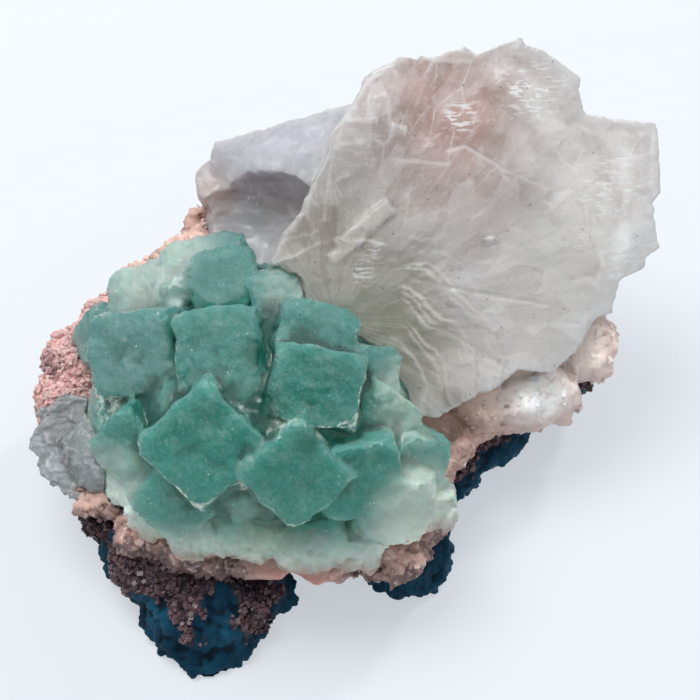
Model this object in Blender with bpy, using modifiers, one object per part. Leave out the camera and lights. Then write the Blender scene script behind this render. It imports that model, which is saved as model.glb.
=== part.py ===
"""Green apophyllite on heulandite: a cabinet mineral specimen about 10 cm across.

A slab of dark basalt carries a pink crust of heulandite. On the crust stand a dome of blocky green
apophyllite crystals, a large pale sheaf of heulandite blades, one thick blade behind it and a small pale
sheaf at the left. Every length below is in millimetres; MM turns it into Blender's metres. +Z is up, and the
specimen rests on z = 0.
"""

import math
import random

import bmesh
import bpy
from mathutils import Matrix, Vector, noise

MM = 0.001
GAP = 0.3  # clearance between two minerals that touch

# Driving sizes of the whole specimen
BED_FRONT = 12.0  # height of the basalt's top under the apophyllite
BED_BACK = 24.0  # height of the basalt's top at the back
BED_RISE_START = 2.0  # where that top begins to climb, along Y
BED_RISE_LENGTH = 30.0
BED_LEAN = 0.02  # how much the bed climbs per millimetre along X
CRUST = 4.5  # thickness of the heulandite crust
ROOTED = 2.0  # how high above the basalt the large crystals' roots end


def clear_scene():
    """Removes every object that the file opens with."""
    for obj in list(bpy.data.objects):
        bpy.data.objects.remove(obj, do_unlink=True)


def in_metres(point):
    """A point given in millimetres, as a vector in metres."""
    return Vector(point) * MM


def material(name, colour, roughness):
    """A plain stone or crystal finish."""
    made = bpy.data.materials.new(name)
    made.use_nodes = True
    shader = made.node_tree.nodes["Principled BSDF"]
    shader.inputs["Base Color"].default_value = (*colour, 1.0)
    shader.inputs["Roughness"].default_value = roughness
    shader.inputs["Metallic"].default_value = 0.0
    made.diffuse_color = (*colour, 1.0)
    return made


def new_object(name, bm):
    """An object in the specimen's collection that takes over the bmesh."""
    mesh = bpy.data.meshes.new(name)
    bm.to_mesh(mesh)
    bm.free()
    obj = bpy.data.objects.new(name, mesh)
    SPECIMEN.objects.link(obj)
    return obj


def apply_modifiers(obj):
    """Turns the object's modifiers into its mesh."""
    bpy.context.view_layer.objects.active = obj
    for modifier in list(obj.modifiers):
        bpy.ops.object.modifier_apply(modifier=modifier.name)


def remove(objects):
    """Deletes solids that have done their work."""
    for obj in objects:
        bpy.data.objects.remove(obj, do_unlink=True)


def boolean(base, operation, others, keep=False):
    """Joins or cuts base with all the other solids at once, and removes them unless they are kept."""
    operands = bpy.data.collections.new("operands")
    for other in others:
        operands.objects.link(other)
    modifier = base.modifiers.new("boolean", "BOOLEAN")
    modifier.operation = operation
    modifier.solver = "EXACT"
    modifier.operand_type = "COLLECTION"
    modifier.collection = operands
    apply_modifiers(base)
    bpy.data.collections.remove(operands)
    if not keep:
        remove(others)
    return base


def fused(name, solids):
    """The solids joined in one, under that name."""
    base, *others = solids
    base.name = name
    base.data.name = name
    return boolean(base, "UNION", others)


def heap(name, solids):
    """The overlapping solids in one object, not yet joined, for rough_skin to melt together."""
    bm = bmesh.new()
    for solid in solids:
        bm.from_mesh(solid.data)
    remove(solids)
    return new_object(name, bm)


def ellipsoid(centre, radii, facing=(0, 0, 1), grow=0.0, subdivisions=2):
    """A rounded lump of stone, with its last radius along facing."""
    bm = bmesh.new()
    bmesh.ops.create_icosphere(bm, subdivisions=subdivisions, radius=1.0)
    stretched = Matrix.Diagonal([*((r + grow) * MM for r in radii), 1.0])
    turned = Vector(facing).to_track_quat("Z", "Y").to_matrix().to_4x4()
    bm.transform(Matrix.Translation(in_metres(centre)) @ turned @ stretched)
    return new_object("lump", bm)


def all_below(height):
    """A block that holds everything below that height."""
    side, depth = 180.0, 60.0
    bm = bmesh.new()
    bmesh.ops.create_cube(bm, size=1.0)
    sides = Matrix.Diagonal([side * MM, side * MM, depth * MM, 1.0])
    bm.transform(Matrix.Translation(in_metres((0, 0, height - depth / 2))) @ sides)
    return new_object("all_below", bm)


def rough_skin(obj, voxel, relief, grain, share, seed):
    """Melts overlapping solids into one rough skin: relief is its depth, grain the size of its bumps and
    share how much of the mesh its facets keep."""
    remesh = obj.modifiers.new("skin", "REMESH")
    remesh.mode = "VOXEL"
    remesh.voxel_size = voxel * MM
    apply_modifiers(obj)
    outwards = [vert.normal.copy() for vert in obj.data.vertices]
    for vert, normal in zip(obj.data.vertices, outwards):
        spot = vert.co / (grain * MM) + Vector((seed, 0, 0))
        bump = noise.noise(spot) + 0.5 * noise.noise(spot * 2.1)
        vert.co += normal * bump * relief * MM
    decimate = obj.modifiers.new("facets", "DECIMATE")
    decimate.ratio = share
    apply_modifiers(obj)
    return obj


# ----------------------------------------------------------------------------------------------------------
# Basalt: a lumpy slab with a sawn foot, two tongues in front and a hump under the back

LUMPS = [
    # centre, radii
    ((-14, 2, 4), (31, 29, 14)),
    ((8, 14, 8), (28, 21, 17)),
    ((-18, 23, 12), (14, 12, 15)),
    ((-22, 27, 16), (6, 9, 9)),
    ((28, 14, 8), (12, 11, 9)),
    ((31, 6, 7), (9, 6, 8)),
    ((37, 5, 10), (4, 4, 5)),
    ((-30, -25, 5), (10, 11, 9)),
    ((-23, -33, 2), (11.5, 12, 9)),
    ((-23, -40, -1), (7, 6, 8)),
    ((-14, -30, 1), (5.5, 7, 7)),
    ((-39, -21, 8), (5, 5, 6)),
    ((-40, -19, 3), (4, 4.5, 6)),
    ((9, -25, 2), (8, 7.5, 9)),
    ((11, -19, 4), (6, 6, 8)),
    ((15, -9, 5), (8, 7, 8)),
    ((24, -5, 7), (6, 5, 6)),
]
BASALT_SKIN = dict(voxel=1.3, relief=1.6, grain=5.0, share=0.17, seed=0)


def bed_height(x, y):
    """Height of the surface on which the heulandite grew: level in front, climbing to the back."""
    climb = min(max((y - BED_RISE_START) / BED_RISE_LENGTH, 0.0), 1.0)
    smooth = climb * climb * (3 - 2 * climb)
    return BED_FRONT + (BED_BACK - BED_FRONT) * smooth + BED_LEAN * x


def above_bed(lift):
    """Everything above the bed raised by lift, as one closed block."""
    half_side, top = 75.0, 120.0
    bm = bmesh.new()
    bmesh.ops.create_grid(bm, x_segments=1, y_segments=14, size=half_side * MM)
    for vert in bm.verts:
        vert.co.z = (bed_height(vert.co.x / MM, vert.co.y / MM) + lift) * MM
    roof = bmesh.ops.extrude_face_region(bm, geom=bm.faces[:])["geom"]
    for vert in (v for v in roof if isinstance(v, bmesh.types.BMVert)):
        vert.co.z = top * MM
    bmesh.ops.recalc_face_normals(bm, faces=bm.faces)
    return new_object("above_bed", bm)


def basalt():
    """The dark matrix, sawn flat below and ending above at the bed."""
    lumps = heap("basalt_matrix", [ellipsoid(*lump) for lump in LUMPS])
    rock = rough_skin(lumps, **BASALT_SKIN)
    boolean(rock, "DIFFERENCE", [all_below(0.0)])
    return boolean(rock, "DIFFERENCE", [above_bed(0.0)])


# ----------------------------------------------------------------------------------------------------------
# Apophyllite: square blocks with their corners cut, grown together over a dome

# face: centre of the flat end face; size: its two sides and the depth; tip: its lean about X and about Y;
# spin: turn about its own axis; corner: how much of each corner is cut away
GREEN_CRYSTALS = [
    dict(face=(-20, -12, 43), size=(13, 12.5, 14), tip=(27, -6), spin=3, corner=2.6),
    dict(face=(-5, -19, 43), size=(14, 11.5, 14), tip=(33, 6), spin=-8, corner=3.0),
    dict(face=(-5, -10, 43), size=(12, 11, 13), tip=(26, 8), spin=-10, corner=3.8),
    dict(face=(-20, 4, 40), size=(11, 10, 13), tip=(14, -2), spin=12, corner=3.4),
    dict(face=(-11, 0, 40), size=(8, 9, 12), tip=(22, 14), spin=28, corner=2.4),
    dict(face=(-24, 12, 34), size=(14, 9, 12), tip=(4, -10), spin=8, corner=2.4),
    dict(face=(-34, 5, 33), size=(11, 10, 12), tip=(16, -22), spin=-6, corner=2.2),
    dict(face=(-34, -9, 37), size=(13.5, 13, 14), tip=(34, -20), spin=-8, corner=2.4),
    dict(face=(-22, -26, 37), size=(15, 14.5, 15), tip=(44, -6), spin=40, corner=2.2),
    dict(face=(-34, -22, 29), size=(11, 11, 12), tip=(52, -32), spin=24, corner=2.0),
    dict(face=(-27, -30, 27), size=(11, 11, 12), tip=(58, -14), spin=34, corner=2.4),
    dict(face=(-8, -30, 35), size=(13, 13, 14), tip=(52, 4), spin=45, corner=2.0),
    dict(face=(2, -29, 32), size=(12, 12, 13), tip=(52, 18), spin=20, corner=2.6),
    dict(face=(4, -14, 37), size=(9, 10, 12), tip=(34, 30), spin=12, corner=2.0),
    dict(face=(6, -20, 34), size=(10, 9, 12), tip=(44, 32), spin=-12, corner=2.2),
    dict(face=(11, -24, 28), size=(10, 9, 11), tip=(50, 42), spin=8, corner=2.4),
    dict(face=(7, -31, 26), size=(12, 11, 11), tip=(64, 26), spin=10, corner=3.0),
    dict(face=(-24, -33, 20), size=(8, 7, 9), tip=(72, -14), spin=18, corner=2.2),
    dict(face=(-16, -34, 21), size=(9, 7, 9), tip=(74, -4), spin=-12, corner=2.4),
    dict(face=(-6, -35, 21), size=(11, 9, 10), tip=(70, 8), spin=14, corner=3.2),
    dict(face=(-42, 2, 26), size=(9, 8, 9), tip=(20, -50), spin=20, corner=2.0),
    dict(face=(-27, 3, 37), size=(5, 5, 8), tip=(20, -15), spin=20, corner=1.2),
    dict(face=(-33, 12, 29), size=(8, 7, 9), tip=(0, -30), spin=25, corner=1.8),
    dict(face=(-13, 9, 33), size=(9, 8, 12), tip=(-20, 10), spin=30, corner=2.2),
    dict(face=(-31, -29, 20), size=(7, 7, 8), tip=(65, -30), spin=15, corner=1.8),
    dict(face=(13, -28, 20), size=(8, 7, 8), tip=(62, 40), spin=30, corner=2.0),
    dict(face=(1, -35, 19), size=(8, 6, 8), tip=(78, 6), spin=-10, corner=1.8),
]
DOMES = [
    dict(centre=(-17, -10, 18), radii=(26, 22, 16)),
    dict(centre=(-13, -13, 22), radii=(23, 19, 19.5)),
    dict(centre=(-26, 4, 21), radii=(13, 12, 15)),
]
DOME_FLOOR = 16.5


def block_crystal(face, size, tip, spin, corner, grow=0.0):
    """One apophyllite crystal, a square block with its eight corners cut off."""
    sides = [(side + 2 * grow) * MM for side in size]
    turned = (
        Matrix.Rotation(math.radians(tip[1]), 4, "Y")
        @ Matrix.Rotation(math.radians(tip[0]), 4, "X")
        @ Matrix.Rotation(math.radians(spin), 4, "Z")
    )
    bm = bmesh.new()
    bmesh.ops.create_cube(bm, size=1.0)
    bm.transform(Matrix.Diagonal([*sides, 1.0]))
    bmesh.ops.bevel(bm, geom=bm.verts, offset=corner * MM, affect="VERTICES", segments=1)
    bm.transform(Matrix.Translation(in_metres(face)) @ turned @ Matrix.Translation((0, 0, -size[2] * MM / 2)))
    return new_object("crystal", bm)


def dome_core(grow=0.0):
    """The massive green apophyllite that the crystals grow out of, flat where it meets the crust."""
    domes = fused("dome", [ellipsoid(**dome, grow=grow, subdivisions=3) for dome in DOMES])
    return boolean(domes, "DIFFERENCE", [all_below(DOME_FLOOR - grow)])


def apophyllite(grow=0.0):
    """The dome and its crystals in one solid. With grow, a slightly larger copy that cuts room for it."""
    crystals = [block_crystal(**crystal, grow=grow) for crystal in GREEN_CRYSTALS]
    return fused("apophyllite_cluster", [dome_core(grow), *crystals])


# ----------------------------------------------------------------------------------------------------------
# Heulandite sheaf: flat blades side by side in one broad fan, with shorter and thicker ones below

FAN_ROOT = Vector((-2.6, -1.7, 35.1))
FAN_FACING = Vector((0.1, -0.66, 0.75)).normalized()  # what the fan's face looks towards
FAN_LIFT = 1.0  # height of the face over the root
FAN_CURL = 3.0  # how far the face curves back at FAN_REACH from the root
FAN_REACH = 55.0
FAN_THICKNESS = 8.5
FAN_TAPER = 0.93  # size of the fan's back, as a share of its face
FAN_RINGS = (0.35, 0.7, 1.0)  # where the curved face has its points, as shares of a blade's length
# the two angles between which each blade lies, and its length along each of those sides
FAN_BLADES = [
    ((150, 120), (13, 15.5)),
    ((119, 105), (16, 18)),
    ((104, 92), (19, 26)),
    ((91, 83), (29, 36)),
    ((82, 77), (38, 40.5)),
    ((76, 68), (42, 44.5)),
    ((67, 64), (45.5, 47.5)),
    ((61.5, 56), (47, 53)),
    ((55, 51.5), (52.3, 53.5)),
    ((49, 44), (53.8, 54.5)),
    ((42.5, 39), (52.8, 51.5)),
    ((37, 31), (53, 60)),
    ((30, 21), (60, 56)),
    ((20, 12), (54.2, 53.4)),
    ((11, 9), (51, 50.5)),
    ((7.5, 1), (46.2, 44.5)),
    ((0, -7), (42, 39)),
    ((-8, -14), (38.6, 36)),
    ((-15, -25), (30.5, 27)),
    ((-26, -43), (26, 22.5)),
    ((-48, -90), (20, 16)),
    ((-120, -180), (9, 8)),
]
# rows of blades below the fan: how deep each lies under its face, its length as a share of the fan's, the
# angle of its first blade, and how many there are
UNDER_ROWS = [
    dict(depth=7.5, share=0.93, first=70, count=9),
    dict(depth=12.5, share=0.83, first=65, count=8),
    dict(depth=17.5, share=0.68, first=70, count=8),
]
UNDER_STEP = -12.0  # angle from one blade of a row to the next
UNDER_VARIETY = dict(angle=2.5, share=0.06, roll=8.0)  # the most by which each blade differs from its row
UNDER_START = 0.35  # where such a blade begins, as a share of the way from the root to its end
UNDER_SHAPE = dict(width=13, thickness=6.5, root_share=0.7, facing=FAN_FACING)
SHEAF_SEED = 5
SHEAF_CORE = dict(centre=(15, 12, 24), radii=(19, 13, 11))


def flat_blade(root, tip, width, thickness, roll, facing, grow=0.0, root_share=0.45, corner=0.3):
    """One heulandite blade from root to tip: a flat plate, narrow at its root, its end's corners cut."""
    start, end = in_metres(root), in_metres(tip)
    along = (end - start).normalized()
    across = Vector(facing).cross(along).normalized()
    frame = Matrix((along, across, along.cross(across))).transposed().to_4x4()
    length = (end - start).length + 2 * grow * MM
    wide, deep = (width + 2 * grow) * MM, (thickness + 2 * grow) * MM
    bm = bmesh.new()
    bmesh.ops.create_cube(bm, size=1.0)
    bm.transform(Matrix.Diagonal([length, wide, deep, 1.0]) @ Matrix.Translation((0.5, 0, -0.5)))
    upright = [
        edge
        for edge in bm.edges
        if all(vert.co.x > length / 2 for vert in edge.verts)
        and abs(edge.verts[0].co.z - edge.verts[1].co.z) > deep / 2
    ]
    bmesh.ops.bevel(bm, geom=upright, offset=corner * wide, affect="EDGES", segments=1)
    for vert in bm.verts:
        if vert.co.x < length / 2:
            vert.co.y *= root_share
    bm.transform(
        Matrix.Translation(start)
        @ frame
        @ Matrix.Rotation(math.radians(roll), 4, "X")
        @ Matrix.Translation((-grow * MM, 0, grow * MM))
    )
    return new_object("blade", bm)


def fan_point(angle, reach, depth):
    """The point of the fan that far out from its root, in that direction, and that deep under its face."""
    upwards = FAN_FACING.cross((1, 0, 0)).normalized()
    side = upwards.cross(FAN_FACING)
    turn = math.radians(angle)
    sunk = depth - FAN_LIFT + FAN_CURL * (reach / FAN_REACH) ** 2
    return FAN_ROOT + reach * (math.cos(turn) * side + math.sin(turn) * upwards) - sunk * FAN_FACING


def fan_plate(grow):
    """The upper blades in one plate, with a slightly curved face and a step in its rim at each blade."""
    rim = [(angle, reach + grow) for blade in FAN_BLADES for angle, reach in zip(*blade)]
    layers = [(share, -grow) for share in FAN_RINGS]
    layers += [(FAN_TAPER * share, FAN_THICKNESS + grow) for share in reversed(FAN_RINGS)]
    bm = bmesh.new()
    rings = [
        [bm.verts.new(in_metres(fan_point(angle, reach * share, depth))) for angle, reach in rim]
        for share, depth in layers
    ]
    for first, second in zip(rings, rings[1:]):
        for i in range(len(rim)):
            bm.faces.new((first[i - 1], first[i], second[i], second[i - 1]))
    bm.faces.new(rings[0])
    bm.faces.new(rings[-1])
    bmesh.ops.triangulate(bm, faces=bm.faces)
    bmesh.ops.recalc_face_normals(bm, faces=bm.faces)
    return new_object("fan_plate", bm)


def fan_length(angle):
    """How far the fan reaches in about that direction."""
    ends = [end for blade in FAN_BLADES for end in zip(*blade)]
    return min(ends, key=lambda end: abs(end[0] - angle))[1]


def under_row(draw, depth, share, first, count, grow):
    """A row of blades side by side below the fan, no two quite alike."""
    for number in range(count):
        angle, length, roll = (draw.uniform(-most, most) for most in UNDER_VARIETY.values())
        angle += first + number * UNDER_STEP
        tip = fan_point(angle, fan_length(angle) * (share + length), depth)
        yield flat_blade(FAN_ROOT.lerp(tip, UNDER_START), tip, roll=roll, **UNDER_SHAPE, grow=grow)


def sheaf(grow=0.0):
    """The heulandite sheaf in one solid. With grow, a slightly larger copy that cuts room for it."""
    draw = random.Random(SHEAF_SEED)
    unders = [blade for row in UNDER_ROWS for blade in under_row(draw, **row, grow=grow)]
    solid = fused("heulandite_sheaf", [fan_plate(grow), ellipsoid(**SHEAF_CORE, grow=grow), *unders])
    return boolean(solid, "INTERSECT", [above_bed(ROOTED - grow)])


# ----------------------------------------------------------------------------------------------------------
# Heulandite blade behind the sheaf, with a hollow in its front

REAR_TOP = [
    (-19.6, 30.4, 36), (-5.8, 19.2, 44), (2, 14, 47), (6, 29, 50), (0, 31, 49.5), (-11, 33, 43),
    (-22.5, 35, 35.5),
]
REAR_FOOT = [(-24.5, 22, 23), (-13, 14, 22), (-4, 9, 22), (4, 8, 24), (6, 35, 28), (-25, 35.5, 24)]
REAR_FACING = (0.1, -0.25, 1.0)
REAR_BLADES = [
    dict(root=(6, 29, 45), tip=(-13, 36, 34), width=8, thickness=9, roll=8, root_share=1.0),
    dict(root=(6, 31, 39), tip=(-20, 36.5, 29), width=8, thickness=8, roll=-4, root_share=1.2),
    dict(root=(-8, 30, 36), tip=(-26, 30, 31), width=8, thickness=8, roll=10, root_share=1.0),
]
REAR_HOLLOW = dict(centre=(-15.5, 14.8, 36.5), radii=(11, 11, 16.5), facing=(13.8, -11.2, 8))
REAR_CORNER = 0.25


def hull(points, grow):
    """The smallest solid with flat faces around those points, each first moved outwards by grow."""
    middle = sum(map(Vector, points), Vector()) / len(points)
    bm = bmesh.new()
    for point in map(Vector, points):
        bm.verts.new(in_metres(point + grow * (point - middle).normalized()))
    bmesh.ops.convex_hull(bm, input=bm.verts)
    bmesh.ops.recalc_face_normals(bm, faces=bm.faces)
    return new_object("hull", bm)


def rear_blade(grow=0.0):
    """The thick pale blade behind the sheaf and those grown beside it, with a hollow in its front."""
    blades = [flat_blade(**blade, facing=REAR_FACING, grow=grow, corner=REAR_CORNER) for blade in REAR_BLADES]
    solid = fused("heulandite_rear_blade", [hull(REAR_TOP + REAR_FOOT, grow), *blades])
    boolean(solid, "INTERSECT", [above_bed(ROOTED - grow)])
    return boolean(solid, "DIFFERENCE", [ellipsoid(**REAR_HOLLOW, grow=-grow, subdivisions=3)])


# ----------------------------------------------------------------------------------------------------------
# Small pale sheaf at the left rim

SIDE_ROOT = (-31, -13, 22)
SIDE_FACING = (-0.3, -0.5, 0.8)
SIDE_BLADES = [
    dict(tip=(-49.5, -10.5, 21.5), width=8, thickness=5, roll=6),
    dict(tip=(-51, -14.5, 20), width=8, thickness=6, roll=-4),
    dict(tip=(-49.5, -18, 18), width=9, thickness=6, roll=4),
    dict(tip=(-45.5, -21, 16.5), width=9, thickness=5, roll=-4),
    dict(tip=(-40, -23, 16), width=9, thickness=4, roll=4),
]
SIDE_SHAPE = dict(facing=SIDE_FACING, root_share=0.8, corner=0.4)
SIDE_CORE = dict(centre=(-37, -15, 19), radii=(9, 8, 6.5))


def side_sheaf(grow=0.0):
    """The small colourless sheaf between the crust and the apophyllite."""
    blades = [flat_blade(SIDE_ROOT, **blade, **SIDE_SHAPE, grow=grow) for blade in SIDE_BLADES]
    solid = fused("heulandite_side_sheaf", [ellipsoid(**SIDE_CORE, grow=grow), *blades])
    return boolean(solid, "INTERSECT", [above_bed(ROOTED - grow)])


# ----------------------------------------------------------------------------------------------------------
# Heulandite crust between the basalt and the crystals: a plate with knobs along its rim

CRUST_OUTLINE = [
    (-47, -4), (-46, -14), (-41, -20), (-33, -26), (-22, -30), (-10, -31), (2, -30), (11, -25), (15, -18),
    (24, -8), (34, -3), (40, 5), (40, 20), (30, 31), (10, 35), (-10, 37), (-24, 32), (-30, 20), (-40, 8),
]
KNOBS = [
    # centre, radii
    ((-32, -27, 13), (6, 4, 3.5)),
    ((-23, -31, 13), (6, 3.5, 3)),
    ((-14, -32, 12.5), (6, 3.5, 3)),
    ((-4, -32, 13), (5, 4, 4)),
    ((6, -31, 13), (7, 4.5, 4)),
    ((12, -25, 14), (4, 4.5, 3.5)),
    ((-46, -5, 17), (4.5, 7, 4.5)),
    ((-45, 2, 19), (4.5, 6, 4.5)),
    ((-40, 8, 20), (5, 5, 4.5)),
    ((-34, 13, 23), (5, 5, 4.5)),
    ((-27, 18, 25), (5, 5, 4)),
    ((-40, -21, 15), (5, 4, 3)),
    ((21, -7, 19), (5, 3.5, 4)),
    ((28, -6, 17), (5, 3.5, 5)),
    ((33, -4, 18), (4.5, 3.5, 6)),
    ((39, 2.5, 22), (4.5, 5, 6)),
    ((-16, 34, 26), (9, 5, 4)),
    ((5, 34, 27), (10, 4, 5)),
    ((26, 28, 26), (9, 6, 5)),
    ((39, 14, 23), (4, 7, 6)),
]
HANGING_BLADE = dict(
    root=(-9, -30, 13), tip=(-4.5, -37.5, 8), width=8, thickness=3, roll=0, facing=(0, -0.6, 0.8),
    root_share=0.8,
)
CRUST_SKIN = dict(voxel=1.0, relief=1.2, grain=3.2, share=0.045, seed=7)


def crust():
    """The pink crust, before its neighbours are cut into it."""
    bm = bmesh.new()
    bm.faces.new([bm.verts.new(in_metres((x, y, 0.0))) for x, y in CRUST_OUTLINE])
    roof = bmesh.ops.extrude_face_region(bm, geom=bm.faces[:])["geom"]
    for vert in (v for v in roof if isinstance(v, bmesh.types.BMVert)):
        vert.co.z = (bed_height(vert.co.x / MM, vert.co.y / MM) + CRUST) * MM
    bmesh.ops.recalc_face_normals(bm, faces=bm.faces)
    plate = new_object("plate", bm)
    knobs = [ellipsoid(*knob) for knob in KNOBS]
    pink = heap("heulandite_crust", [plate, flat_blade(**HANGING_BLADE), *knobs])
    return rough_skin(pink, **CRUST_SKIN)


def stand_on_origin(objects):
    """Moves the finished specimen sideways, so that the middle of its box stands over the origin."""
    corners = [vert.co for obj in objects for vert in obj.data.vertices]
    middle = [(min(at[axis] for at in corners) + max(at[axis] for at in corners)) / 2 for axis in (0, 1)]
    for obj in objects:
        obj.data.transform(Matrix.Translation((-middle[0], -middle[1], 0.0)))


def build():
    """Builds the specimen, each mineral making room for the ones that it touches."""
    rock, pink = basalt(), crust()
    fan, rear, side, green = sheaf(), rear_blade(), side_sheaf(), apophyllite()
    green_room, fan_room = apophyllite(GAP), sheaf(GAP)
    rear_room, side_room = rear_blade(GAP), side_sheaf(GAP)
    boolean(fan, "DIFFERENCE", [green_room], keep=True)
    boolean(rear, "DIFFERENCE", [green_room, fan_room], keep=True)
    boolean(side, "DIFFERENCE", [green_room], keep=True)
    boolean(pink, "DIFFERENCE", [green_room, fan_room, rear_room, side_room], keep=True)
    boolean(pink, "INTERSECT", [above_bed(GAP)])
    remove([green_room, fan_room, rear_room, side_room])
    finishes = {
        rock: material("basalt", (0.02, 0.03, 0.05), 0.8),
        pink: material("pink_heulandite", (0.5, 0.3, 0.28), 0.5),
        fan: material("pale_heulandite", (0.55, 0.52, 0.5), 0.35),
        rear: material("lilac_heulandite", (0.5, 0.5, 0.54), 0.35),
        side: material("colourless_heulandite", (0.45, 0.5, 0.5), 0.35),
        green: material("green_apophyllite", (0.08, 0.3, 0.26), 0.25),
    }
    for obj, finish in finishes.items():
        obj.data.materials.clear()
        obj.data.materials.append(finish)
    stand_on_origin(list(finishes))


clear_scene()
SPECIMEN = bpy.data.collections.new("apophyllite_on_heulandite")
bpy.context.scene.collection.children.link(SPECIMEN)
build()
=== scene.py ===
"""Green apophyllite on heulandite: the finish of a cabinet mineral specimen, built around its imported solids.

Lengths are in millimetres unless a comment says otherwise; MM turns them into Blender's metres.
"""

import math

import bpy
import numpy as np
from mathutils import Matrix, Vector, noise


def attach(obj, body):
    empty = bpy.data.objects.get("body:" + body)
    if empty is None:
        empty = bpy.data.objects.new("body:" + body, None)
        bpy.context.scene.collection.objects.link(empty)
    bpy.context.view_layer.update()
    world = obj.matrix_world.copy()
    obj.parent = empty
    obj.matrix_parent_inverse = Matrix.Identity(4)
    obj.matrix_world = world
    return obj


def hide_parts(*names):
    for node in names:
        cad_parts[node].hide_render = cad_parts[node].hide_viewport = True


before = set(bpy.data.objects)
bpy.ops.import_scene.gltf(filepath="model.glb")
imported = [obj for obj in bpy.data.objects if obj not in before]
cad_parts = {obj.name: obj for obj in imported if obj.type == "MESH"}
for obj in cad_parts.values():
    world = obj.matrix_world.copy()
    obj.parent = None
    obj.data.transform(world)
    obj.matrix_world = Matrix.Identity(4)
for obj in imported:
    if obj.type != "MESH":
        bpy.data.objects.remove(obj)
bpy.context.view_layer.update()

# --------------------------------------------------------------------------------------------------
# Basalt matrix. A broken piece of dark lava with a flat sawn foot. Its bare parts are blue-black and
# covered with small round lumps, and a druse of tiny mauve crystals has grown over its upper sides.

MM = 0.001
WELD = 0.00001  # in metres
FOOT = 0.3  # what lies lower than this is the sawn foot
DRUSE_HEIGHT = 5.5  # the mauve druse grows above this height
BARE_KNOB = (8, 13)  # between these the druse starts higher, and right of them the rock is bare
KNOB_HEIGHT = 5


def only(piece):
    """Leaves this piece alone selected, and active."""
    bpy.ops.object.select_all(action="DESELECT")
    piece.select_set(True)
    bpy.context.view_layer.objects.active = piece


def apply_all(piece):
    """Turns the piece's modifiers into its mesh."""
    only(piece)
    for modifier in list(piece.modifiers):
        bpy.ops.object.modifier_apply(modifier=modifier.name)


def piece_from(node, name):
    """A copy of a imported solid, welded from its loose triangles, that stands for it."""
    piece = bpy.data.objects.new(name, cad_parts[node].data.copy())
    bpy.context.scene.collection.objects.link(piece)
    only(piece)
    bpy.ops.object.mode_set(mode="EDIT")
    bpy.ops.mesh.select_all(action="SELECT")
    bpy.ops.mesh.remove_doubles(threshold=WELD)
    bpy.ops.object.mode_set(mode="OBJECT")
    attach(piece, "root")
    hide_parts(node)
    return piece


def melt(piece, skin, soften=0):
    """Rebuilds the piece as one fine, even skin, with its edges worn round that many times."""
    remesh = piece.modifiers.new("melt", "REMESH")
    remesh.mode = "VOXEL"
    remesh.voxel_size = skin * MM
    remesh.use_smooth_shade = True
    if soften:
        worn = piece.modifiers.new("soften", "SMOOTH")
        worn.iterations = soften
    apply_all(piece)


def thin_out(piece, share):
    """Keeps that share of the piece's triangles, fewest where it is flat."""
    fewer = piece.modifiers.new("thin out", "DECIMATE")
    fewer.ratio = share
    apply_all(piece)


def points_of(piece):
    """The piece's points, one row each, in metres."""
    points = np.empty(len(piece.data.vertices) * 3, np.float32)
    piece.data.vertices.foreach_get("co", points)
    return points.reshape(-1, 3)


def move_to(piece, points):
    """Puts the piece's points there."""
    piece.data.vertices.foreach_set("co", points.astype(np.float32).ravel())
    piece.data.update()


def normals_of(piece):
    """The direction in which each point's surface faces."""
    normals = np.empty(len(piece.data.vertices) * 3, np.float32)
    piece.data.vertex_normals.foreach_get("vector", normals)
    return normals.reshape(-1, 3)


def relief(piece, kind, size, height, middle=0.5, share=1.0, **settings):
    """Raises a pattern of that size out of the skin by up to that height, times share."""
    before = points_of(piece)
    pattern = bpy.data.textures.new(kind, kind)
    pattern.noise_scale = size * MM
    for setting, value in settings.items():
        setattr(pattern, setting, value)
    raised = piece.modifiers.new(kind, "DISPLACE")
    raised.texture = pattern
    raised.texture_coords = "LOCAL"
    raised.strength = height * MM
    raised.mid_level = middle
    apply_all(piece)
    move_to(piece, before + (points_of(piece) - before) * np.reshape(share, (-1, 1)))


def step(values, low, high):
    """0 below low and 1 above high, with a soft step between them. With low above high it falls."""
    share = np.clip((values - low) / (high - low), 0, 1)
    return share * share * (3 - 2 * share)


def wild(points, size, octaves=3):
    """A natural-looking field over points in millimetres, from about -1 to 1, with features of that size."""
    return 1.7 * np.array([noise.fractal(point, 1.0, 2.0, octaves) for point in (points / size).tolist()])


def mark(piece, name, values):
    """Stores one number per point under that name, for the piece's finish to read."""
    attribute = piece.data.attributes.new(name, "FLOAT", "POINT")
    attribute.data.foreach_set("value", values.astype(np.float32))


def smoothed(piece, points, rounds):
    """The points after each has been moved that many times to the middle of its neighbours."""
    ends = np.empty(len(piece.data.edges) * 2, np.int32)
    piece.data.edges.foreach_get("vertices", ends)
    first, second = ends.reshape(-1, 2).T
    here, there = np.concatenate([first, second]), np.concatenate([second, first])
    neighbours = np.bincount(here, minlength=len(points))[:, None]
    for _ in range(rounds):
        sums = [np.bincount(here, points[there, axis], len(points)) for axis in range(3)]
        points = np.stack(sums, 1) / neighbours
    return points


def standing_out(piece, rounds, full):
    """How far each point stands out from the smoothed skin: 1 at full on an edge, -1 in a crevice."""
    points = points_of(piece)
    out = ((points - smoothed(piece, points, rounds)) * normals_of(piece)).sum(1)
    return np.clip(out / (full * MM), -1, 1)


def linear(colour):
    """An 8-bit screen colour, as the shader counts it."""
    return tuple((c / 255 / 12.92) if c < 10.3 else ((c / 255 + 0.055) / 1.055) ** 2.4 for c in colour)


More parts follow.
